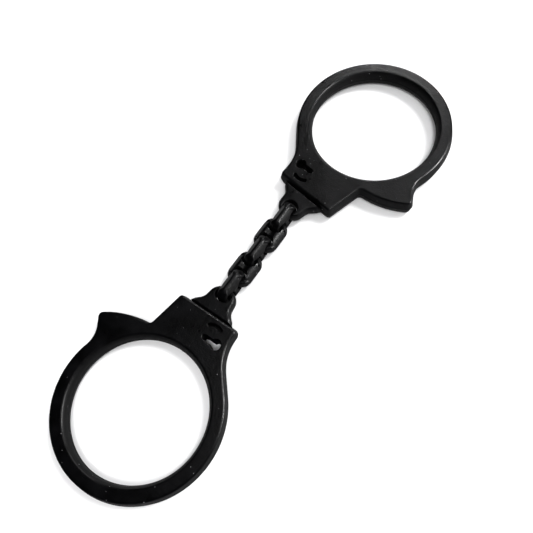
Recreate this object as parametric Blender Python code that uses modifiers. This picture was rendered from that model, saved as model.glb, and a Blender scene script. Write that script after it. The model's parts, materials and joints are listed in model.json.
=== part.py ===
"""Soft handcuffs: two closed ring cuffs joined by a five-link chain.

Each cuff is one flexible moulding: a wrist ring, a horn shaped like a jaw tip and a
flat lock case with a keyhole. A swivel turns in a socket in each case, and its eye
holds the end link of the chain. Neighbouring links stand at right angles, and each
end bar of a link lies in the next link's hole. Units are metres, +Z is up, and the
chain runs along X. Nothing but the shapes of the pieces is modelled here.
"""
import math

import bmesh
import bpy
from mathutils import Matrix, Vector

# Driving dimensions, in metres.
RING_INNER_R = 0.0310      # wrist opening
RING_OUTER_R = 0.0392
CUFF_THICK = 0.0090
CUFF_ROUND = 0.0014        # rounding of the cuff's rims
CASE_END_X = 0.0522        # end face of the lock case, from the ring's centre
CASE_HALF_W = 0.0166
LINK_LENGTH = 0.0172
LINK_WIDTH = 0.0126
LINK_THICK = 0.0067
WIRE_R = 0.0016            # end bars of links and swivels
PLAY = 0.00035             # slack between two hooked end bars
LINK_COUNT = 5
CUFF_B_YAW = math.radians(-9)   # the second cuff lies turned a little off the chain's line

# Derived sizes of the chain.
BAR_X = LINK_LENGTH / 2 - WIRE_R          # end bar's centre, from the link's centre
HOOK = 2 * WIRE_R + PLAY                  # between the centres of two hooked bars
PITCH = 2 * BAR_X - HOOK                  # from link to link
SLOT_HALF_W = LINK_THICK / 2 + 0.0003     # room for the neighbour's thickness
LINK_CORNER_R = BAR_X - HOOK / 2 - 0.0001
WEB_HALF_X = 0.0011                       # web across the middle of a link's hole
WEB_HALF_Z = 0.0029
AXIS_Z = LINK_WIDTH / 2                   # every piece is centred at this height

# The ring's outline runs between these two angles, and the case and horn take the rest.
HORN_ANGLE = math.radians(77)
CASE_ANGLE = math.radians(-48.5)
# Corners of the case and horn, each with the radius of its rounding.
CASE_CORNER_R = 0.0024
WAIST_R = 0.0235
NOTCH = (0.0330, 0.0197, 0.0016)
HORN_FLANK = (0.0314, 0.0325, 0.0430)
HORN_TIP = (0.0234, 0.0440, 0.0030)
HORN_ROOT_R = 0.0110
HORN_SLOPE = math.radians(35)             # of the horn's back, up to its tip

# Keyhole: a round hole with a slot towards the case's middle. Beside it, a shallow
# crescent runs round the centre given.
KEY_CENTRE = (0.0412, -0.0117)
KEY_R = 0.0025
KEY_SLOT_HALF_W = 0.0012
KEY_SLOT_END_Y = -0.0042
CRESCENT_CENTRE = (0.0424, -0.0073)
CRESCENT_R = 0.0056
CRESCENT_HALF_W = 0.0008
CRESCENT_ANGLES = (math.radians(-26), math.radians(38))
CRESCENT_DEPTH = 0.0026

# Swivel, measured from the pocket point where the end link's bar lies in its eye.
POCKET_X = 0.06085                        # the pocket point, from the ring's centre
SWIVEL_THICK = 0.0060
SWIVEL_BASE_HALF_W = 0.0122
SWIVEL_NECK_HALF_W = 0.0074
SWIVEL_FLARE = 0.0048                     # length of the flare between those two widths
SWIVEL_TIP_R = 0.0011                     # tips of the flare
SWIVEL_FLANK_R = 0.0050                   # hollow of its flanks
SWIVEL_NOSE_R = 0.0060                    # clears the link's web when the eye swings 30 degrees
SWIVEL_ROUND = 0.0006                     # rounding of the tab's rims
EYE_BACK_X = -0.0027                      # back wall of the eye
EYE_CORNER_R = 0.0009
FACE_GAP = 0.0004                         # between the case's end and the swivel
STEM_R = 0.0020
HEAD_R = 0.0030
SOCKET_PLAY = 0.0004
STEM_LENGTH = 0.0040                      # neck of the stem inside the case
HEAD_LENGTH = 0.0040

FACET = math.radians(22.5)                # one step along a rounded corner
SHORTEST_EDGE = 0.0002                    # of the cuff's outline
FINEST = 0.00003                          # corners closer than this become one
RING_STEPS = 44


def polar(radius, angle, centre=(0.0, 0.0)):
    """A point on a circle."""
    return (centre[0] + radius * math.cos(angle), centre[1] + radius * math.sin(angle))


def arc(centre, radius, start, end, steps):
    """Points along an arc, both ends included."""
    return [polar(radius, start + (end - start) * i / steps, centre)
            for i in range(steps + 1)]


def meeting(p, angle_p, q, angle_q):
    """Where the line through p at angle_p meets the line through q at angle_q."""
    dx, dy = math.cos(angle_p), math.sin(angle_p)
    ex, ey = math.cos(angle_q), math.sin(angle_q)
    s = ((q[0] - p[0]) * ey - (q[1] - p[1]) * ex) / (dx * ey - dy * ex)
    return (p[0] + s * dx, p[1] + s * dy)


def rounded(corners, closed=True):
    """Points of an outline whose corners (x, y, radius) are rounded into arcs."""
    points = []
    count = len(corners)
    for i, (x, y, radius) in enumerate(corners):
        at_end = not closed and i in (0, count - 1)
        if radius == 0 or at_end:
            points.append((x, y))
            continue
        here = Vector((x, y))
        back = (Vector(corners[i - 1][:2]) - here).normalized()
        ahead = (Vector(corners[(i + 1) % count][:2]) - here).normalized()
        half = back.angle(ahead) / 2
        centre = here + (back + ahead).normalized() * radius / math.sin(half)
        start = here + back * radius / math.tan(half) - centre
        end = here + ahead * radius / math.tan(half) - centre
        turn = math.atan2(start.cross(end), start.dot(end))
        steps = max(2, round(abs(turn) / FACET))
        first = math.atan2(start.y, start.x)
        points += arc(centre, radius, first, first + turn, steps)
    return points


def cuff_outline():
    """Outer edge of ring, case and horn, anticlockwise, from the ring's centre."""
    low = polar(RING_OUTER_R, CASE_ANGLE)
    high = polar(RING_OUTER_R, HORN_ANGLE)
    quarter = math.pi / 2
    waist = meeting(low, CASE_ANGLE + quarter, (0, -CASE_HALF_W), 0)
    horn_root = meeting(high, HORN_ANGLE + quarter, HORN_TIP[:2], HORN_SLOPE)
    corners = [
        (*low, 0),
        (*waist, WAIST_R),
        (CASE_END_X, -CASE_HALF_W, CASE_CORNER_R),
        (CASE_END_X, CASE_HALF_W, CASE_CORNER_R),
        NOTCH,
        HORN_FLANK,
        HORN_TIP,
        (*horn_root, HORN_ROOT_R),
        (*high, 0),
    ]
    ring = arc((0, 0), RING_OUTER_R, HORN_ANGLE, CASE_ANGLE + 2 * math.pi, RING_STEPS)
    points = rounded(corners, closed=False) + ring[1:-1]
    return [p for p, after in zip(points, points[1:] + points[:1])
            if math.dist(p, after) > SHORTEST_EDGE]


def link_outline():
    """Outer edge of a link, from its centre."""
    x, y = LINK_LENGTH / 2, LINK_WIDTH / 2
    return rounded([(sx * x, sy * y, LINK_CORNER_R)
                    for sx, sy in ((-1, -1), (1, -1), (1, 1), (-1, 1))])


def swivel_outline():
    """Outer edge of the swivel's tab, from its pocket point; its nose is at +X."""
    base = CASE_END_X + FACE_GAP - POCKET_X
    nose = HOOK + WIRE_R
    half = [(base, -SWIVEL_BASE_HALF_W, SWIVEL_TIP_R),
            (base + SWIVEL_FLARE, -SWIVEL_NECK_HALF_W, SWIVEL_FLANK_R),
            (nose, -LINK_WIDTH / 2, SWIVEL_NOSE_R)]
    return rounded(half + [(x, -y, r) for x, y, r in reversed(half)])


def keyhole_outline():
    """Round hole with a slot towards the case's middle."""
    x, y = KEY_CENTRE
    side = math.asin(KEY_SLOT_HALF_W / KEY_R)
    bow = arc(KEY_CENTRE, KEY_R, math.pi / 2 + side, 2.5 * math.pi - side, 18)
    return bow + [(x + KEY_SLOT_HALF_W, KEY_SLOT_END_Y), (x - KEY_SLOT_HALF_W, KEY_SLOT_END_Y)]


def crescent_outline():
    """Narrow curved slot."""
    first, last = CRESCENT_ANGLES
    outer = arc(CRESCENT_CENTRE, CRESCENT_R + CRESCENT_HALF_W, first, last, 6)
    inner = arc(CRESCENT_CENTRE, CRESCENT_R - CRESCENT_HALF_W, last, first, 6)
    return outer + inner


def collection(name):
    """A new collection in the scene."""
    made = bpy.data.collections.new(name)
    bpy.context.scene.collection.children.link(made)
    return made


def rubber(name):
    """Matt black moulded rubber."""
    material = bpy.data.materials.new(name)
    material.use_nodes = True
    shader = material.node_tree.nodes["Principled BSDF"]
    shader.inputs["Base Color"].default_value = (0.012, 0.012, 0.014, 1)
    shader.inputs["Roughness"].default_value = 0.5
    shader.inputs["Metallic"].default_value = 0.0
    return material


def curve_object(name, loops, closed=True):
    """A curve object of straight-sided splines."""
    data = bpy.data.curves.new(name, "CURVE")
    for loop in loops:
        spline = data.splines.new("POLY")
        spline.points.add(len(loop) - 1)
        for point, place in zip(spline.points, loop):
            point.co = (place[0], place[1], 0, 1)
        spline.use_cyclic_u = closed
    made = bpy.data.objects.new(name, data)
    bpy.context.scene.collection.objects.link(made)
    return made


def as_mesh(curve, group):
    """The curve made a welded mesh object of the same name, in the group given."""
    name = curve.name
    curve.name = name + "_curve"
    bpy.context.view_layer.update()
    mesh = bpy.data.meshes.new_from_object(curve.evaluated_get(
        bpy.context.evaluated_depsgraph_get()))
    work = bmesh.new()
    work.from_mesh(mesh)
    bmesh.ops.remove_doubles(work, verts=work.verts, dist=0.000005)
    bmesh.ops.dissolve_limit(work, angle_limit=math.radians(1), verts=work.verts,
                             edges=work.edges)
    bmesh.ops.recalc_face_normals(work, faces=work.faces)
    work.to_mesh(mesh)
    work.free()
    made = bpy.data.objects.new(name, mesh)
    made.matrix_world = curve.matrix_world
    group.objects.link(made)
    bpy.data.objects.remove(curve)
    return made


def plate(name, loops, thickness, group):
    """A flat outline with its holes, raised to the thickness about Z = 0."""
    made = curve_object(name, loops)
    made.data.dimensions = "2D"
    made.data.fill_mode = "BOTH"
    made.data.extrude = thickness / 2
    return as_mesh(made, group)


def tube(name, path, closed, group):
    """A round bar along a path."""
    made = curve_object(name, [path], closed)
    made.data.dimensions = "3D"
    made.data.bevel_depth = WIRE_R
    made.data.bevel_resolution = 2
    made.data.use_fill_caps = True
    return as_mesh(made, group)


def turned(name, profile, group):
    """A solid turned about the X axis from (x, radius) points, given from low x to high."""
    mesh = bpy.data.meshes.new(name)
    mesh.from_pydata([(x, 0, r) for x, r in reversed(profile)],
                     [(i, i + 1) for i in range(len(profile) - 1)], [])
    made = bpy.data.objects.new(name, mesh)
    group.objects.link(made)
    screw = made.modifiers.new("turn", "SCREW")
    screw.axis = "X"
    screw.steps = 20
    screw.render_steps = 20
    screw.use_merge_vertices = True
    screw.merge_threshold = 0.00001
    return made


def round_rims(made, width, segments):
    """Round the rims between the flat faces and the walls."""
    bevel = made.modifiers.new("round", "BEVEL")
    bevel.width = width
    bevel.segments = segments
    bevel.limit_method = "ANGLE"
    bevel.angle_limit = math.radians(60)
    bevel.use_clamp_overlap = False


def combine(made, other, operation):
    """Cut the other object away, or join it on."""
    boolean = made.modifiers.new(operation.lower(), "BOOLEAN")
    boolean.operation = operation
    boolean.object = other
    other.parent = made
    other.hide_render = True
    other.display_type = "WIRE"


def settle(made):
    """Apply the object's modifiers, so that copies can share the finished mesh."""
    bpy.context.view_layer.update()
    mesh = bpy.data.meshes.new_from_object(made.evaluated_get(
        bpy.context.evaluated_depsgraph_get()))
    work = bmesh.new()
    work.from_mesh(mesh)
    bmesh.ops.remove_doubles(work, verts=work.verts, dist=FINEST)
    bmesh.ops.dissolve_degenerate(work, edges=work.edges, dist=FINEST)
    bmesh.ops.triangulate(work, faces=work.faces)
    work.to_mesh(mesh)
    work.free()
    mesh.shade_smooth()
    mesh.set_sharp_from_angle(angle=math.radians(40))
    tools = list(made.children)
    made.modifiers.clear()
    made.data = mesh
    for tool in tools:
        bpy.data.objects.remove(tool)
    return mesh


def cuff_mesh(parts, cutters):
    """One cuff, centred on its ring, with the case towards +X."""
    hole = arc((0, 0), RING_INNER_R, 0, 2 * math.pi, 60)[:-1]
    cuff = plate("cuff_form", [cuff_outline(), hole], CUFF_THICK, parts)
    round_rims(cuff, CUFF_ROUND, 3)
    keyhole = plate("keyhole_cutter", [keyhole_outline()], 2 * CUFF_THICK, cutters)
    combine(cuff, keyhole, "DIFFERENCE")
    crescent = plate("crescent_cutter", [crescent_outline()], 2 * CRESCENT_DEPTH, cutters)
    crescent.location.z = CUFF_THICK / 2
    combine(cuff, crescent, "DIFFERENCE")
    inner = CASE_END_X - STEM_LENGTH - HEAD_LENGTH - 2 * SOCKET_PLAY
    shoulder = CASE_END_X - STEM_LENGTH
    bore, chamber = STEM_R + SOCKET_PLAY, HEAD_R + SOCKET_PLAY
    profile = [(inner, 0), (inner, chamber), (shoulder, chamber), (shoulder, bore),
               (CASE_END_X + 0.001, bore), (CASE_END_X + 0.001, 0)]
    socket = turned("socket_cutter", profile, cutters)
    combine(cuff, socket, "DIFFERENCE")
    return settle(cuff)


def end_bar_path(closed_at_both):
    """Path of a link's end bar and its returns, from the link's centre."""
    side = LINK_WIDTH / 2 - WIRE_R - 0.0003
    radius = LINK_CORNER_R - WIRE_R - 0.0003
    nose = [(BAR_X, -side, radius), (BAR_X, side, radius)]
    if closed_at_both:
        return rounded([(-BAR_X, side, radius), (-BAR_X, -side, radius)] + nose)
    root = BAR_X - HOOK
    return rounded([(root, -side, 0)] + nose + [(root, side, 0)], closed=False)


def link_mesh(parts, cutters):
    """One link lying flat, centred on the origin: two cheeks, two bars and a web."""
    link = plate("link_form", [link_outline()], LINK_THICK, parts)
    round_rims(link, LINK_THICK / 2 - 0.0007, 3)
    reach = LINK_LENGTH
    slot = [(-reach, -SLOT_HALF_W), (reach, -SLOT_HALF_W), (reach, SLOT_HALF_W),
            (-reach, SLOT_HALF_W)]
    combine(link, plate("slot_cutter", [slot], LINK_LENGTH, cutters), "DIFFERENCE")
    combine(link, tube("loop", end_bar_path(True), True, cutters), "UNION")
    web_end = SLOT_HALF_W + 0.0008
    web = [(-WEB_HALF_X, -web_end), (WEB_HALF_X, -web_end), (WEB_HALF_X, web_end),
           (-WEB_HALF_X, web_end)]
    combine(link, plate("web", [web], 2 * WEB_HALF_Z, cutters), "UNION")
    return settle(link)


def swivel_mesh(parts, cutters):
    """One swivel from its pocket point: tab with an eye at +X, stem and head at -X."""
    swivel = plate("swivel_form", [swivel_outline()], SWIVEL_THICK, parts)
    round_rims(swivel, SWIVEL_ROUND, 3)
    slot = rounded([(EYE_BACK_X, -SLOT_HALF_W, EYE_CORNER_R), (LINK_LENGTH, -SLOT_HALF_W, 0),
                    (LINK_LENGTH, SLOT_HALF_W, 0), (EYE_BACK_X, SLOT_HALF_W, EYE_CORNER_R)])
    combine(swivel, plate("eye_cutter", [slot], LINK_LENGTH, cutters), "DIFFERENCE")
    bar = tube("bar", end_bar_path(False), False, cutters)
    bar.location.x = HOOK - BAR_X
    combine(swivel, bar, "UNION")
    face = CASE_END_X - POCKET_X
    neck = face - STEM_LENGTH - SOCKET_PLAY
    chamfer = 0.0008
    profile = [(neck - HEAD_LENGTH + SOCKET_PLAY, 0),
               (neck - HEAD_LENGTH + SOCKET_PLAY, HEAD_R - chamfer),
               (neck - HEAD_LENGTH + SOCKET_PLAY + chamfer, HEAD_R),
               (neck, HEAD_R), (neck, STEM_R), (face + 0.0020, STEM_R),
               (face + 0.0020, 0)]
    combine(swivel, turned("stem", profile, cutters), "UNION")
    return settle(swivel)


def place(name, mesh, matrix, group):
    """A named piece with its own material, standing where the matrix says."""
    own = mesh.copy()
    own.name = name
    own.materials.clear()
    own.materials.append(rubber(name + "_rubber"))
    made = bpy.data.objects.new(name, own)
    group.objects.link(made)
    made.matrix_world = matrix
    return made


def turn(axis, angle):
    """Rotation about a world axis as a 4 x 4 matrix."""
    return Matrix.Rotation(angle, 4, axis)


def main():
    """Build every piece, hang all of them on one empty and centre that on the floor."""
    for old in list(bpy.data.objects):
        bpy.data.objects.remove(old, do_unlink=True)
    parts = collection("handcuffs")
    cutters = collection("cutters")
    cuff = cuff_mesh(parts, cutters)
    link = link_mesh(parts, cutters)
    swivel = swivel_mesh(parts, cutters)
    link.transform(Matrix.Translation((BAR_X - HOOK, 0, 0)))
    for form in [o for o in parts.objects]:
        bpy.data.objects.remove(form)

    shift = Matrix.Translation
    pocket_b = (LINK_COUNT - 1) / 2 * PITCH + BAR_X
    half_turn = turn("Z", math.pi)
    side_a = shift((-pocket_b, 0, 0))
    side_b = shift((pocket_b, 0, 0)) @ turn("Z", CUFF_B_YAW) @ half_turn
    ring_centre = shift((-POCKET_X, 0, 0))
    places = {"cuff_a": (cuff, side_a @ ring_centre), "swivel_a": (swivel, side_a)}
    for i in range(LINK_COUNT):
        joint_x = (i - (LINK_COUNT - 1) / 2) * PITCH - (BAR_X - HOOK)
        upright = turn("X", math.pi / 2 if i % 2 == 0 else 0)
        places[f"link_{i + 1}"] = (link, shift((joint_x, 0, 0)) @ upright)
    places["swivel_b"] = (swivel, side_b)
    places["cuff_b"] = (cuff, side_b @ ring_centre)

    corners = [places[name][1] @ Vector((x, y, 0))
               for name in ("cuff_a", "cuff_b") for x, y in cuff_outline()]
    middle = [(min(p[i] for p in corners) + max(p[i] for p in corners)) / 2 for i in (0, 1)]
    home = shift((-middle[0], -middle[1], AXIS_Z))
    for name, (mesh, matrix) in places.items():
        place(name, mesh, home @ matrix, parts)


main()
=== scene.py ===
"""Looks of the soft handcuffs: moulded black silicone cuffs, swivels and chain links.

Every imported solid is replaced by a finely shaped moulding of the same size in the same
place. Units are metres. Each piece is shaped about its own origin, with +Z out of its
face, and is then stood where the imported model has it.
"""
import json
import math

import bmesh
import bpy
from mathutils import Matrix, Vector

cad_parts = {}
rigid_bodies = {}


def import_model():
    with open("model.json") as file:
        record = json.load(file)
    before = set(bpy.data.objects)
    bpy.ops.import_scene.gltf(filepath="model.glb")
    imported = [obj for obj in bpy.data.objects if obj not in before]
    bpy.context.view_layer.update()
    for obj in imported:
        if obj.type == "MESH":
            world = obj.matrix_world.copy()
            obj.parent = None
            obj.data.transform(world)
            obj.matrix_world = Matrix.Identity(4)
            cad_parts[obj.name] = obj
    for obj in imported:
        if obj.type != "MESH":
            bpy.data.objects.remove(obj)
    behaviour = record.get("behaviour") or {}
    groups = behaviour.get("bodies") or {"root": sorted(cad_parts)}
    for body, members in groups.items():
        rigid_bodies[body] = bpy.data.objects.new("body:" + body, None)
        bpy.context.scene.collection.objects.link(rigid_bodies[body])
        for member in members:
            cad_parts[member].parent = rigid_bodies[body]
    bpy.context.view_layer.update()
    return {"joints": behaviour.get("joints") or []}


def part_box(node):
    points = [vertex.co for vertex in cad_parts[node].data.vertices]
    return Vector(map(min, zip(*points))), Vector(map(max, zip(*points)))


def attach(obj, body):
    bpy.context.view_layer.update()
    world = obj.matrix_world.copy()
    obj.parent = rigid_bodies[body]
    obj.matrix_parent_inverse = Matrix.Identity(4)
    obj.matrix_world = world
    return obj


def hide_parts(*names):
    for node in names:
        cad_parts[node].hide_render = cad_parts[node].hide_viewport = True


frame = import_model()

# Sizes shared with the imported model.
RING_INNER_R = 0.0310
RING_OUTER_R = 0.0392
CUFF_HALF = 0.0045
CASE_END_X = 0.0522
CASE_HALF_W = 0.0166
CASE_CORNER_R = 0.0024
HORN_ANGLE = math.radians(77)
CASE_ANGLE = math.radians(-48.5)
WAIST_R = 0.0235
NOTCH = (0.0330, 0.0197, 0.0016)
HORN_FLANK = (0.0314, 0.0325, 0.0430)
HORN_TIP = (0.0234, 0.0440, 0.0030)
HORN_ROOT_R = 0.0110
HORN_SLOPE = math.radians(35)
KEY_CENTRE = (0.0412, -0.0117)
KEY_R = 0.0025
KEY_SLOT_HALF_W = 0.0012
KEY_SLOT_END_Y = -0.0042
CRESCENT_CENTRE = (0.0424, -0.0073)
CRESCENT_R = 0.0056
CRESCENT_HALF_W = 0.0008
CRESCENT_ANGLES = (math.radians(-26), math.radians(38))
CRESCENT_DEPTH = 0.0026
LINK_LENGTH = 0.0172
LINK_WIDTH = 0.0126
LINK_HALF = 0.00335
WIRE_R = 0.0016
HOOK = 0.00355
BAR_X = LINK_LENGTH / 2 - WIRE_R
LINK_CORNER_R = BAR_X - HOOK / 2 - 0.0001
SLOT_HALF_W = LINK_HALF + 0.0003
POCKET_X = 0.06085
SWIVEL_HALF = 0.0030
SWIVEL_BASE_HALF_W = 0.0122
SWIVEL_NECK_HALF_W = 0.0074
SWIVEL_FLARE = 0.0048
SWIVEL_FLANK_R = 0.0050
SWIVEL_NOSE_R = 0.0060
EYE_BACK_X = -0.0027
STEM_R = 0.0020
HEAD_R = 0.0030
SOCKET_PLAY = 0.0004
STEM_LENGTH = 0.0040
HEAD_LENGTH = 0.0040

# Finer shaping, seen only here.
ARC_STEP = math.radians(4)        # one step along a rounded corner
RING_STEPS = 180                  # steps round a ring,
KEY_STEPS = 60                    # round the keyhole,
CRESCENT_STEPS = 30               # along a side of the crescent
TIP_STEPS = 12                    # and round its tip
TURNED_STEPS = 48                 # steps round a turned solid
RUN = 0.0012                      # longest step along an outline
MERGE = 0.000002                  # points this close are one point
SLIVER = 0.000001                 # faces this narrow are dropped after a cut
RIDGE = 0.00020                   # how far the parting line stands out of the walls
FACE_GAP = 0.00002                # between the case's end and the swivel
TIP_REACH = 0.0004                # how far the thin tips of the flare run on along the case
TIP_R = 0.0002
BASE_REACH = 0.0015               # how much of the swivel's base is squeezed up to the case,
BASE_SQUEEZE = 0.4                # and to what share, which keeps its rims there crisp
KEY_SLOT_R = 0.0005               # corners of the keyhole's slot
SOCKET_MOUTH = 0.001              # how far the socket's cutter runs out of the case
HEAD_ROUND = 0.0008               # chamfer on the back of the stem's head
STEM_ROOT = 0.0020                # how far the stem runs into the tab
EYE_R = 0.0033                    # corners of the pocket at a swivel's eye
EYE_SWEEP_R = 0.0061              # room for a link that swings about the eye's own bar
WEB_HALF_X = 0.0011               # half the web between a link's pockets
WEB_R = 0.0028                    # corners of the pockets beside the web
WEB_SWEEP_R = 0.00608             # room for a link that swings about a link's own bar
SADDLE_R = 0.0045                 # hollow across the top of the web,
SADDLE_Z = 0.0027                 # and the height of its bottom
FIN = 0.0005                      # how far a pocket's sides close in at the parting line,
FIN_TOP = 0.0016                  # up to what height,
FIN_TAPER = 0.0012                # and how much of that height they thin out over
LINK_CREST = 0.0006               # half the flat crest round a link's edge
BAR_SPREAD = 1.65                 # thickness of an end bar against its width
BAR_FLANK = 1.5                   # how steeply its outer side rises to that thickness
BAR_FLAT = WIRE_R / 20            # and the height that it begins to rise at
BAR_INSET = 0.00005               # of the bars' returns, inside a link's outline
SPREAD_START = 0.0035             # where a return begins to thicken, from the link's centre,
SPREAD_RUN = 0.0020               # and over what length
VOXEL = 0.00017                   # grain of the softened chain
LINK_MELT = 3                     # rounds of softening
SWIVEL_MELT = 4
MELT_SHARE = 0.5                  # strength of a round

# Wall sections, from the middle of the thickness up: (inset, height).
CUFF_WALL = [(0, 0), (0.00003, 0.00012), (RIDGE, 0.00030), (RIDGE + 0.00002, 0.0006),
             (0.00032, 0.0014), (0.00048, 0.0022), (0.00064, 0.0030), (0.00080, 0.0037),
             (0.00087, 0.0040), (0.00098, 0.00414), (0.00122, 0.00429), (0.00146, 0.00442),
             (0.00162, 0.00448), (0.00180, CUFF_HALF), (0.00200, CUFF_HALF)]
WRIST_WALL = [(0, 0), (0.00003, 0.00012), (RIDGE, 0.00030), (RIDGE + 0.00002, 0.0007),
              (0.00032, 0.0014), (0.00044, 0.0021), (0.00066, 0.0028), (0.00096, 0.0034),
              (0.00130, 0.0039), (0.00158, 0.0042), (0.00182, 0.00438), (0.00206, 0.00447),
              (0.00232, CUFF_HALF), (0.00250, CUFF_HALF)]
KEY_WALL = [(0, 0), (0, 0.0040), (0.00004, 0.0043), (0.00014, 0.00443),
            (0.00030, CUFF_HALF), (0.00042, CUFF_HALF)]
TAB_WALL = [(0, 0), (0.00005, 0.0010), (0.00020, 0.0018), (0.00050, 0.0024),
            (0.00072, 0.0026), (0.00102, 0.0029), (0.0014, SWIVEL_HALF),
            (0.0015, SWIVEL_HALF)]
LINK_WALL = [(0, 0), (0.00003, 0.0003), (0.00009, LINK_CREST), (0.00022, 0.0009),
             (0.0006, 0.00136), (0.0011, 0.00190), (0.0016, 0.00236), (0.0021, 0.00276),
             (0.0026, 0.00308), (0.0031, 0.00330), (0.0036, LINK_HALF)]

# The crescent's wall, from its floor up.
CRESCENT_FLOOR = CUFF_HALF - CRESCENT_DEPTH
CRESCENT_WALL = [(-0.6 * CRESCENT_HALF_W, CRESCENT_FLOOR), (-0.0001, CRESCENT_FLOOR + 0.0001),
                 (0, CRESCENT_FLOOR + 0.0005)] + KEY_WALL[2:]

# Black silicone: bare, where it has a faint bloom, and the lint on it.
BARE = (0.0007, 0.0007, 0.0009, 1)
BLOOM = (0.0022, 0.0022, 0.0028, 1)
LINT = (0.24, 0.24, 0.25, 1)
SILICONE_IOR = 1.41
SILICONE_SPECULAR = 0.3
BLOOM_GRAIN = 0.009               # size of the patches of bloom,
PATCH_GRAIN = 0.0022              # of the rougher patches,
SKIN_GRAIN = 0.0019               # of the unevenness of the skin
FINE_GRAIN = 0.0006               # and of its grain
SMALL_LINT = (0.0012, 0.00019)    # how far apart the small specks are, and their radius
LARGE_LINT = (0.0047, 0.00030)
LARGE_SHARE = 1.6                 # share of the large specks against the small ones
CUFF_LINT, CHAIN_LINT = 0.10, 0.05    # share of the small specks that are there
PIECE_SHIFT = (0.37, 0.61, 0.13)  # the patterns' step from one seed to the next
# The mould's draughted walls are left rougher than its polished faces.
WALL_ROUGHNESS = 0.66
FACE_ROUGHNESS = 0.26
WALL_LEAN, FACE_LEAN = 0.45, 0.8  # how far a normal leans to Z on the one and on the other
PATCHY = 0.08                     # how much rougher it gets in patches

# Camera.
CAMERA_AT = (-0.0736, -0.0824, 0.2558)
CAMERA_AIM = (-0.0032, -0.0047, 0.0063)
CAMERA_UP = (0.774, 0.509, 0.377)
LENS_MM = 38.97
SENSOR_MM = 36.0

# Soft lights: name, place, aim, size and power, and whether the gloss alone shows it (True)
# or everything but the gloss.
LIGHTS = [
    ("front", (-0.27, -0.30, 0.95), (0, 0, 0), (0.25, 0.25), 5.0, False),
    ("window", (0.40, -0.08, 0.76), (0.40, -0.08, 0), (1.0, 0.5), 2.2, True),
    ("strip", (0.20, -0.02, 0.75), (0.20, -0.02, 0), (0.45, 0.05), 0.6, True),
    ("key", (0.36, -0.44, 0.41), (0, 0, 0), (0.12, 0.12), 7.5, True),
    ("back", (0.62, 0.22, 0.42), (0, 0, 0), (0.12, 0.12), 2.2, True),
]
SKY_AHEAD = (-0.42, 0.30, -0.85)  # the way the sky light falls
SKY_ANGLE = math.radians(16)      # how broad it is
SKY_STRENGTH = 1.9
SURROUND = 0.65                   # strength of the light from all round
FLOOR_WHITE = (0.76, 0.76, 0.765, 1)
FLOOR_ROUGHNESS = 0.6
FLOOR_HALF = 4


def polar(radius, angle, centre=(0.0, 0.0)):
    """A point on a circle."""
    return (centre[0] + radius * math.cos(angle), centre[1] + radius * math.sin(angle))


def arc(centre, radius, start, end, steps):
    """Points along an arc, both ends included."""
    return [polar(radius, start + (end - start) * i / steps, centre)
            for i in range(steps + 1)]


def meeting(p, angle_p, q, angle_q):
    """Where the line through p at angle_p meets the line through q at angle_q."""
    dx, dy = math.cos(angle_p), math.sin(angle_p)
    ex, ey = math.cos(angle_q), math.sin(angle_q)
    s = ((q[0] - p[0]) * ey - (q[1] - p[1]) * ex) / (dx * ey - dy * ex)
    return (p[0] + s * dx, p[1] + s * dy)


def rounded(corners, closed=True):
    """Points of an outline whose corners (x, y, radius) are rounded into arcs."""
    points = []
    count = len(corners)
    for i, (x, y, radius) in enumerate(corners):
        at_end = not closed and i in (0, count - 1)
        if radius == 0 or at_end:
            points.append((x, y))
            continue
        here = Vector((x, y))
        back = (Vector(corners[i - 1][:2]) - here).normalized()
        ahead = (Vector(corners[(i + 1) % count][:2]) - here).normalized()
        half = back.angle(ahead) / 2
        centre = here + (back + ahead).normalized() * radius / math.sin(half)
        start = here + back * radius / math.tan(half) - centre
        end = here + ahead * radius / math.tan(half) - centre
        turn = math.atan2(start.cross(end), start.dot(end))
        steps = max(2, math.ceil(abs(turn) / ARC_STEP))
        first = math.atan2(start.y, start.x)
        points += arc(centre, radius, first, first + turn, steps)
    return points


def even(points):
    """The outline with its long steps divided and its very short ones dropped."""
    made = []
    for here, after in zip(points, points[1:] + points[:1]):
        gap = math.dist(here, after)
        if gap < RUN / 20:
            continue
        steps = math.ceil(gap / RUN)
        made += [(here[0] + (after[0] - here[0]) * i / steps,
                  here[1] + (after[1] - here[1]) * i / steps) for i in range(steps)]
    return made


def cuff_outline():
    """Outer edge of ring, case and horn, anticlockwise, from the ring's centre."""
    low = polar(RING_OUTER_R, CASE_ANGLE)
    high = polar(RING_OUTER_R, HORN_ANGLE)
    quarter = math.pi / 2
    waist = meeting(low, CASE_ANGLE + quarter, (0, -CASE_HALF_W), 0)
    horn_root = meeting(high, HORN_ANGLE + quarter, HORN_TIP[:2], HORN_SLOPE)
    corners = [
        (*low, 0),
        (*waist, WAIST_R),
        (CASE_END_X, -CASE_HALF_W, CASE_CORNER_R),
        (CASE_END_X, CASE_HALF_W, CASE_CORNER_R),
        NOTCH,
        HORN_FLANK,
        HORN_TIP,
        (*horn_root, HORN_ROOT_R),
        (*high, 0),
    ]
    ring = arc((0, 0), RING_OUTER_R, HORN_ANGLE, CASE_ANGLE + 2 * math.pi, RING_STEPS)
    return even(rounded(corners, closed=False) + ring[1:-1])


def link_outline():
    """Outer edge of a link, from its centre."""
    x, y = LINK_LENGTH / 2, LINK_WIDTH / 2
    return even(rounded([(sx * x, sy * y, LINK_CORNER_R)
                         for sx, sy in ((-1, -1), (1, -1), (1, 1), (-1, 1))]))


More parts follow.
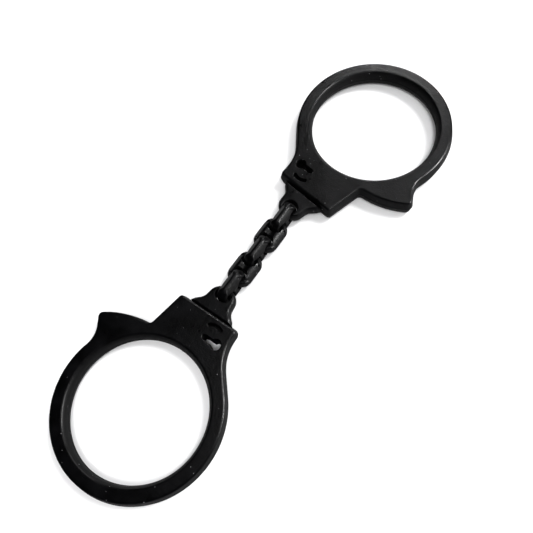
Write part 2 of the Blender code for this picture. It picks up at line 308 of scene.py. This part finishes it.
def swivel_outline():
    """Outer edge of the swivel's tab, from its pocket point; its nose is at +X."""
    base = CASE_END_X + FACE_GAP - POCKET_X
    nose = HOOK + WIRE_R
    half = [(base, -SWIVEL_BASE_HALF_W - TIP_REACH, TIP_R),
            (base + SWIVEL_FLARE, -SWIVEL_NECK_HALF_W, SWIVEL_FLANK_R),
            (nose, -LINK_WIDTH / 2, SWIVEL_NOSE_R)]
    return even(rounded(half + [(x, -y, r) for x, y, r in reversed(half)]))


def keyhole_outline():
    """Round hole with a slot towards the case's middle, clockwise."""
    x, y = KEY_CENTRE
    side = math.asin(KEY_SLOT_HALF_W / KEY_R)
    bow = arc(KEY_CENTRE, KEY_R, math.pi / 2 + side, 2.5 * math.pi - side, KEY_STEPS)
    end = rounded([(*bow[-1], 0), (x + KEY_SLOT_HALF_W, KEY_SLOT_END_Y, KEY_SLOT_R),
                   (x - KEY_SLOT_HALF_W, KEY_SLOT_END_Y, KEY_SLOT_R), (*bow[0], 0)],
                  closed=False)
    return even(bow + end[1:-1])[::-1]


def crescent_outline():
    """Narrow curved slot with round ends, clockwise."""
    first, last = CRESCENT_ANGLES
    outer = arc(CRESCENT_CENTRE, CRESCENT_R + CRESCENT_HALF_W, first, last, CRESCENT_STEPS)
    inner = arc(CRESCENT_CENTRE, CRESCENT_R - CRESCENT_HALF_W, last, first, CRESCENT_STEPS)
    ends = [arc(polar(CRESCENT_R, angle, CRESCENT_CENTRE), CRESCENT_HALF_W,
                angle + turn, angle + turn + math.pi, TIP_STEPS)[1:-1]
            for angle, turn in ((last, 0), (first, math.pi))]
    return even(outer + ends[0] + inner + ends[1])[::-1]


def both_sides(section):
    """A wall section mirrored about the middle of the thickness, from bottom to top."""
    return [(inset, -height) for inset, height in section[:0:-1]] + section


def add_wall(work, outline, section):
    """Raise a wall on the outline; its first and last loops of edges are returned.

    Anticlockwise outlines face outwards, and clockwise ones face into a hole.
    """
    count = len(outline)
    loops = [[] for _ in section]
    for i, (x, y) in enumerate(outline):
        along = Vector(outline[(i + 1) % count]) - Vector(outline[i - 1])
        along.normalize()
        for loop, (inset, height) in zip(loops, section):
            loop.append(work.verts.new((x - along.y * inset, y + along.x * inset, height)))
    for low, high in zip(loops, loops[1:]):
        for i in range(count):
            work.faces.new((low[i - 1], low[i], high[i], high[i - 1]))
    return [[work.edges.get((loop[i - 1], loop[i])) for i in range(count)]
            for loop in (loops[0], loops[-1])]


def fill(work, edges):
    """Close the flat region between loops of edges."""
    bmesh.ops.triangle_fill(work, edges=edges, use_beauty=True)


def finished(work, name):
    """The closed shape as a mesh."""
    bmesh.ops.recalc_face_normals(work, faces=work.faces)
    mesh = bpy.data.meshes.new(name)
    work.to_mesh(mesh)
    work.free()
    mesh.shade_smooth()
    return mesh


def add_object(name, mesh):
    """The mesh as an object in the scene."""
    made = bpy.data.objects.new(name, mesh)
    bpy.context.scene.collection.objects.link(made)
    return made


def slab(name, outline, section):
    """A closed slab with the outline and wall section given."""
    work = bmesh.new()
    for rim in add_wall(work, outline, section):
        fill(work, rim)
    return add_object(name, finished(work, name))


def turned(name, profile):
    """A solid turned about the X axis from (x, radius) points, its ends on the axis."""
    work = bmesh.new()
    verts = [work.verts.new((x, 0, r)) for x, r in profile]
    edges = [work.edges.new(pair) for pair in zip(verts, verts[1:])]
    bmesh.ops.spin(work, geom=verts + edges, axis=(1, 0, 0), cent=(0, 0, 0),
                   angle=2 * math.pi, steps=TURNED_STEPS, use_merge=True)
    bmesh.ops.remove_doubles(work, verts=work.verts, dist=MERGE)
    return add_object(name, finished(work, name))


def bar(name, path, closed):
    """A round bar of the chain's wire along a path."""
    data = bpy.data.curves.new(name, "CURVE")
    data.dimensions = "3D"
    data.bevel_depth = WIRE_R
    data.bevel_resolution = 6
    data.use_fill_caps = True
    spline = data.splines.new("POLY")
    spline.points.add(len(path) - 1)
    for point, place in zip(spline.points, path):
        point.co = (*place, 0, 1)
    spline.use_cyclic_u = closed
    curve = add_object(name + "_path", data)
    work = bmesh.new()
    work.from_mesh(bpy.data.meshes.new_from_object(curve.evaluated_get(
        bpy.context.evaluated_depsgraph_get())))
    bmesh.ops.remove_doubles(work, verts=work.verts, dist=MERGE)
    bpy.data.objects.remove(curve)
    return add_object(name, finished(work, name))


def combine(made, other, operation):
    """Cut the other object away, or join it on."""
    step = made.modifiers.new(operation.lower(), "BOOLEAN")
    step.operation = operation
    step.object = other
    other.parent = made
    other.hide_render = True


def settled(made):
    """The object's mesh with its modifiers applied. The object and its tools are removed."""
    bpy.context.view_layer.update()
    mesh = bpy.data.meshes.new_from_object(made.evaluated_get(
        bpy.context.evaluated_depsgraph_get()))
    mesh.name = made.name
    for used in [*made.children, made]:
        bpy.data.objects.remove(used)
    mesh.shade_smooth()
    return mesh


def without_slivers(mesh):
    """The mesh less the faces that a cut leaves with no width."""
    work = bmesh.new()
    work.from_mesh(mesh)
    bmesh.ops.dissolve_degenerate(work, edges=work.edges, dist=SLIVER)
    bmesh.ops.delete(work, geom=[f for f in work.faces if f.calc_area() < SLIVER ** 2],
                     context="FACES")
    bmesh.ops.triangulate(work, faces=[f for f in work.faces if len(f.verts) > 4])
    work.to_mesh(mesh)
    work.free()
    mesh.shade_smooth()
    return mesh


def melt(made, rounds):
    """Soften every edge and corner, as a moulding's are."""
    remesh = made.modifiers.new("skin", "REMESH")
    remesh.mode = "VOXEL"
    remesh.voxel_size = VOXEL
    smooth = made.modifiers.new("soften", "SMOOTH")
    smooth.factor = MELT_SHARE
    smooth.iterations = rounds


def cuff_mesh():
    """One cuff about its ring's centre, with the case towards +X."""
    work = bmesh.new()
    wrist = arc((0, 0), RING_INNER_R, 2 * math.pi, 0, RING_STEPS)[:-1]
    rims = [add_wall(work, cuff_outline(), both_sides(CUFF_WALL)),
            add_wall(work, wrist, both_sides(WRIST_WALL)),
            add_wall(work, keyhole_outline(), both_sides(KEY_WALL))]
    floor, rim = add_wall(work, crescent_outline(), CRESCENT_WALL)
    fill(work, floor)
    fill(work, [edge for low, high in rims for edge in low])
    fill(work, [edge for low, high in rims for edge in high] + rim)
    cuff = add_object("cuff", finished(work, "cuff"))
    inner = CASE_END_X - STEM_LENGTH - HEAD_LENGTH - 2 * SOCKET_PLAY
    shoulder = CASE_END_X - STEM_LENGTH
    bore, chamber = STEM_R + SOCKET_PLAY, HEAD_R + SOCKET_PLAY
    combine(cuff, turned("socket", [
        (inner, 0), (inner, chamber), (shoulder, chamber), (shoulder, bore),
        (CASE_END_X + SOCKET_MOUTH, bore), (CASE_END_X + SOCKET_MOUTH, 0)]), "DIFFERENCE")
    return without_slivers(settled(cuff))


def clamped(share):
    """The number held between 0 and 1."""
    return min(1, max(0, share))


def pocket(name, back, corner_r, half):
    """Cutter for the pocket that a neighbour's end bar lies in, open towards the nose."""
    mouth = LINK_LENGTH
    outline = even(rounded([(back, -SLOT_HALF_W, corner_r), (mouth, -SLOT_HALF_W, 0),
                            (mouth, SLOT_HALF_W, 0), (back, SLOT_HALF_W, corner_r)]))
    flare = [(0, 0), (0, FIN_TOP - FIN_TAPER), (0, 0.0010), (0, FIN_TOP), (0, half - 0.0008),
             (-0.0001, half - 0.0004), (-0.0003, half - 0.0001), (-0.0005, half + 0.0003)]
    cutter = slab(name, outline, both_sides(flare))
    for vert in cutter.data.vertices:
        share = clamped((FIN_TOP - abs(vert.co.z)) / FIN_TAPER)
        vert.co.y *= 1 - FIN / SLOT_HALF_W * share
    return cutter


def hug(cutter, back, pivot, reach, half):
    """Narrow a pocket's back towards the faces, round the arc of the bar that swings there."""
    front = pivot - HOOK
    for vert in cutter.data.vertices:
        wall = max(back, pivot - math.sqrt(reach ** 2 - min(abs(vert.co.z), half) ** 2))
        vert.co.x += (wall - back) * clamped((front - vert.co.x) / (front - back))


def bar_corner():
    """Half the width of a loop's path and the radius of its corners."""
    return LINK_WIDTH / 2 - WIRE_R - BAR_INSET, LINK_CORNER_R - WIRE_R - BAR_INSET


def widen(made):
    """Fill out end bars across their thickness, up to the round of a link's own nose."""
    side, radius = bar_corner()
    shoulder = LINK_HALF - LINK_CREST
    for vert in made.data.vertices:
        x, height = abs(vert.co.x), abs(vert.co.z)
        share = clamped((x - SPREAD_START) / SPREAD_RUN)
        off = Vector((x - BAR_X + radius, abs(vert.co.y) - side + radius))
        outward = Vector((max(off.x, 0), max(off.y, 0))).length + min(max(off), 0) - radius
        depth = shoulder - min(shoulder, max(0, WIRE_R - outward))
        round_nose = LINK_CREST + math.sqrt(shoulder ** 2 - depth ** 2)
        if outward > 0 and height > BAR_FLAT:
            target = min(BAR_SPREAD * WIRE_R, round_nose * height / WIRE_R * BAR_FLANK,
                         round_nose)
        else:
            target = BAR_SPREAD * height
        vert.co.z = math.copysign((1 - share) * height + share * target, vert.co.z)
    return made


def end_bar_path(closed_at_both):
    """Path of a link's end bar and its returns, from the link's centre."""
    side, radius = bar_corner()
    nose = [(BAR_X, -side, radius), (BAR_X, side, radius)]
    if closed_at_both:
        return rounded([(-BAR_X, side, radius), (-BAR_X, -side, radius)] + nose)
    root = BAR_X - HOOK
    return rounded([(root, -side, 0)] + nose + [(root, side, 0)], closed=False)


def link_mesh(close):
    """One link lying flat about its centre: two cheeks, two end bars and a web between.

    A close one's web thickens towards its faces in the pocket that the next link swings in.
    """
    link = slab("link", link_outline(), both_sides(LINK_WALL))
    for side in (1, -1):
        cutter = pocket("pocket", WEB_HALF_X, WEB_R, LINK_HALF)
        if close and side > 0:
            hug(cutter, WEB_HALF_X, BAR_X, WEB_SWEEP_R, LINK_HALF)
        cutter.data.transform(Matrix.Rotation(0 if side > 0 else math.pi, 4, "Z"))
        combine(link, cutter, "DIFFERENCE")
        saddle = turned("saddle", [(-SADDLE_R, 0), (-SADDLE_R, SADDLE_R),
                                   (SADDLE_R, SADDLE_R), (SADDLE_R, 0)])
        saddle.data.transform(Matrix.Translation((0, 0, side * (SADDLE_Z + SADDLE_R))))
        combine(link, saddle, "DIFFERENCE")
    combine(link, widen(bar("loop", end_bar_path(True), True)), "UNION")
    melt(link, LINK_MELT)
    return settled(link)


def swivel_mesh(close):
    """One swivel about its pocket point: tab with an eye at +X, stem and head at -X.

    A close one's eye narrows towards its faces, round the link that swings in it.
    """
    swivel = slab("swivel", swivel_outline(), both_sides(TAB_WALL))
    base = CASE_END_X + FACE_GAP - POCKET_X
    for vert in swivel.data.vertices:
        if vert.co.x < base + BASE_REACH:
            vert.co.x = base + (vert.co.x - base) * BASE_SQUEEZE
    eye = pocket("eye", EYE_BACK_X, EYE_R, SWIVEL_HALF)
    if close:
        hug(eye, EYE_BACK_X, HOOK, EYE_SWEEP_R, SWIVEL_HALF)
    combine(swivel, eye, "DIFFERENCE")
    ring = widen(bar("eye_bar", end_bar_path(False), False))
    ring.data.transform(Matrix.Translation((HOOK - BAR_X, 0, 0)))
    combine(swivel, ring, "UNION")
    face = CASE_END_X - POCKET_X
    neck = face - STEM_LENGTH - SOCKET_PLAY
    back = neck - HEAD_LENGTH + SOCKET_PLAY
    stem = turned("stem", [(back, 0), (back, HEAD_R - HEAD_ROUND), (back + HEAD_ROUND, HEAD_R),
                           (neck, HEAD_R), (neck, STEM_R), (face + STEM_ROOT, STEM_R),
                           (face + STEM_ROOT, 0)])
    combine(swivel, stem, "UNION")
    melt(swivel, SWIVEL_MELT)
    return settled(swivel)


def add_node(tree, kind, **values):
    """A shader node with some of its inputs set."""
    node = tree.nodes.new(kind)
    for key, value in values.items():
        if key in node.inputs:
            node.inputs[key].default_value = value
        else:
            setattr(node, key, value)
    return node


def noise(tree, coordinates, grain, detail):
    """Noise whose features are about as large as the grain, in metres."""
    node = add_node(tree, "ShaderNodeTexNoise", Scale=1 / grain, Detail=detail)
    tree.links.new(coordinates, node.inputs["Vector"])
    return node.outputs["Fac"]


def spread(tree, value, low, high, to_low, to_high):
    """The value mapped from one range to another, clamped."""
    node = add_node(tree, "ShaderNodeMapRange")
    for i, number in enumerate((low, high, to_low, to_high), start=1):
        node.inputs[i].default_value = number
    tree.links.new(value, node.inputs[0])
    return node.outputs["Result"]


def math_node(tree, operation, a, b):
    """Sum, product or comparison of two values, each a socket or a number."""
    node = add_node(tree, "ShaderNodeMath", operation=operation)
    for socket, value in zip(node.inputs, (a, b)):
        if isinstance(value, bpy.types.NodeSocket):
            tree.links.new(value, socket)
        else:
            socket.default_value = value
    return node.outputs["Value"]


def specks(tree, coordinates, cell, radius, share):
    """Mask of round specks scattered a cell apart, on a share of the cells."""
    cells = add_node(tree, "ShaderNodeTexVoronoi", Scale=1 / cell)
    tree.links.new(coordinates, cells.inputs["Vector"])
    parts = add_node(tree, "ShaderNodeSeparateColor")
    tree.links.new(cells.outputs["Color"], parts.inputs["Color"])
    size = math_node(tree, "MULTIPLY", parts.outputs["Green"], radius / cell)
    inside = math_node(tree, "LESS_THAN", cells.outputs["Distance"], size)
    chosen = math_node(tree, "LESS_THAN", parts.outputs["Red"], share)
    return math_node(tree, "MULTIPLY", inside, chosen)


def silicone(name, seed, dust):
    """Matt black moulded silicone with a fine grain, a faint bloom and lint."""
    material = bpy.data.materials.new(name)
    material.use_nodes = True
    tree = material.node_tree
    shader = tree.nodes["Principled BSDF"]
    shader.inputs["IOR"].default_value = SILICONE_IOR
    shader.inputs["Specular IOR Level"].default_value = SILICONE_SPECULAR
    place = add_node(tree, "ShaderNodeTexCoord")
    shift = add_node(tree, "ShaderNodeMapping", Location=[seed * step for step in PIECE_SHIFT])
    tree.links.new(place.outputs["Object"], shift.inputs["Vector"])
    at = shift.outputs["Vector"]

    bloom = spread(tree, noise(tree, at, BLOOM_GRAIN, 4), 0.38, 0.68, 0, 1)
    tint = add_node(tree, "ShaderNodeMix", data_type="RGBA")
    tint.inputs[6].default_value = BARE
    tint.inputs[7].default_value = BLOOM
    tree.links.new(bloom, tint.inputs[0])
    lint = math_node(tree, "MAXIMUM", specks(tree, at, *SMALL_LINT, dust),
                     specks(tree, at, *LARGE_LINT, dust * LARGE_SHARE))
    coloured = add_node(tree, "ShaderNodeMix", data_type="RGBA")
    coloured.inputs[7].default_value = LINT
    tree.links.new(lint, coloured.inputs[0])
    tree.links.new(tint.outputs[2], coloured.inputs[6])
    tree.links.new(coloured.outputs[2], shader.inputs["Base Color"])

    facing = add_node(tree, "ShaderNodeSeparateXYZ")
    tree.links.new(place.outputs["Normal"], facing.inputs["Vector"])
    upward = spread(tree, math_node(tree, "ABSOLUTE", facing.outputs["Z"], 0),
                    WALL_LEAN, FACE_LEAN, WALL_ROUGHNESS, FACE_ROUGHNESS)
    patches = spread(tree, noise(tree, at, PATCH_GRAIN, 5), 0.3, 0.7, 0, PATCHY)
    patchy = math_node(tree, "ADD", patches, spread(tree, bloom, 0, 1, 0, PATCHY))
    tree.links.new(math_node(tree, "ADD", upward, patchy), shader.inputs["Roughness"])

    grain = add_node(tree, "ShaderNodeBump", Strength=0.9, Distance=0.00010)
    tree.links.new(noise(tree, at, FINE_GRAIN, 3), grain.inputs["Height"])
    skin = add_node(tree, "ShaderNodeBump", Strength=0.6, Distance=0.00012)
    tree.links.new(noise(tree, at, SKIN_GRAIN, 2), skin.inputs["Height"])
    tree.links.new(grain.outputs["Normal"], skin.inputs["Normal"])
    tree.links.new(skin.outputs["Normal"], shader.inputs["Normal"])
    return material


def joint_at(name):
    """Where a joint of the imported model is."""
    return Vector(next(j["pos_m"] for j in frame["joints"] if j["name"] == name))


def standing(origin, ahead):
    """Matrix of a piece at the origin given, its X along ahead and its Z up."""
    across = Vector((0, 0, 1)).cross(ahead)
    turn = Matrix((ahead, across, (0, 0, 1))).transposed()
    return Matrix.Translation(origin) @ turn.to_4x4()


def add_piece(node, mesh, matrix, material):
    """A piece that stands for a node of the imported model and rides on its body."""
    own = mesh.copy()
    own.name = node + "_skin"
    own.materials.clear()
    own.materials.append(material)
    own.transform(matrix)
    piece = add_object(node + "_skin", own)
    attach(piece, node)
    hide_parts(node)


def make_handcuffs():
    """Every piece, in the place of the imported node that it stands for."""
    cuff = cuff_mesh()
    links = [link_mesh(True), link_mesh(False)]    # flat and on edge
    swivels = {"a": swivel_mesh(True), "b": swivel_mesh(False)}
    ahead_a = Vector((1, 0, 0))
    ahead_b = -Vector(next(j["axis"] for j in frame["joints"] if j["name"] == "cuff_b_spin"))
    ahead_b.normalize()
    pocket_a = joint_at("link_1_pitch") - HOOK * ahead_a
    pocket_b = joint_at("swivel_b_yaw")
    for side, seed, at, ahead in (("a", 3, pocket_a, ahead_a), ("b", 8, pocket_b, ahead_b)):
        add_piece("cuff_" + side, cuff, standing(at - POCKET_X * ahead, ahead),
                  silicone("cuff_silicone_" + side, seed, CUFF_LINT))
        add_piece("swivel_" + side, swivels[side], standing(at, ahead),
                  silicone("swivel_silicone_" + side, seed + 1, CHAIN_LINT))
    for i in range(1, 6):
        low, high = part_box(f"link_{i}")
        upright = Matrix.Rotation(math.pi / 2 * (i % 2), 4, "X")
        add_piece(f"link_{i}", links[i % 2], Matrix.Translation((low + high) / 2) @ upright,
                  silicone(f"link_silicone_{i}", 11 + i, CHAIN_LINT))


def add_floor():
    """A plain pale surface under the handcuffs."""
    work = bmesh.new()
    bmesh.ops.create_grid(work, x_segments=1, y_segments=1, size=FLOOR_HALF)
    floor = add_object("floor", finished(work, "floor"))
    material = bpy.data.materials.new("floor_white")
    material.use_nodes = True
    shader = material.node_tree.nodes["Principled BSDF"]
    shader.inputs["Base Color"].default_value = FLOOR_WHITE
    shader.inputs["Roughness"].default_value = FLOOR_ROUGHNESS
    floor.data.materials.append(material)


def add_light(name, at, aim, size, power, mirrored):
    """A soft rectangular light turned towards a point, seen only in gloss or never in it."""
    data = bpy.data.lights.new(name, "AREA")
    data.shape = "RECTANGLE"
    data.size, data.size_y = size
    data.energy = power
    lamp = add_object(name, data)
    lamp.location = at
    lamp.rotation_euler = (Vector(aim) - Vector(at)).to_track_quat("-Z", "Y").to_euler()
    lamp.visible_glossy = mirrored
    lamp.visible_diffuse = not mirrored


def add_studio():
    """The soft lights, a broad sky light that falls evenly all round, and a pale surround."""
    for light in LIGHTS:
        add_light(*light)
    data = bpy.data.lights.new("sky", "SUN")
    data.energy = SKY_STRENGTH
    data.angle = SKY_ANGLE
    sky = add_object("sky", data)
    sky.rotation_euler = Vector(SKY_AHEAD).to_track_quat("-Z", "Y").to_euler()
    sky.visible_glossy = False
    world = bpy.data.worlds.new("studio")
    bpy.context.scene.world = world
    world.use_nodes = True
    world.cycles_visibility.glossy = False
    background = world.node_tree.nodes["Background"]
    background.inputs["Color"].default_value = (1, 1, 1, 1)
    background.inputs["Strength"].default_value = SURROUND


def add_camera():
    """The camera at the photograph's angle."""
    data = bpy.data.cameras.new("camera")
    data.lens = LENS_MM
    data.sensor_width = SENSOR_MM
    camera = add_object("camera", data)
    back = (Vector(CAMERA_AT) - Vector(CAMERA_AIM)).normalized()
    right = Vector(CAMERA_UP).cross(back).normalized()
    turn = Matrix((right, back.cross(right), back)).transposed()
    camera.matrix_world = Matrix.Translation(CAMERA_AT) @ turn.to_4x4()
    bpy.context.scene.camera = camera


bpy.context.scene.view_settings.view_transform = "Standard"
bpy.context.scene.view_settings.look = "Medium High Contrast"
make_handcuffs()
add_floor()
add_studio()
add_camera()
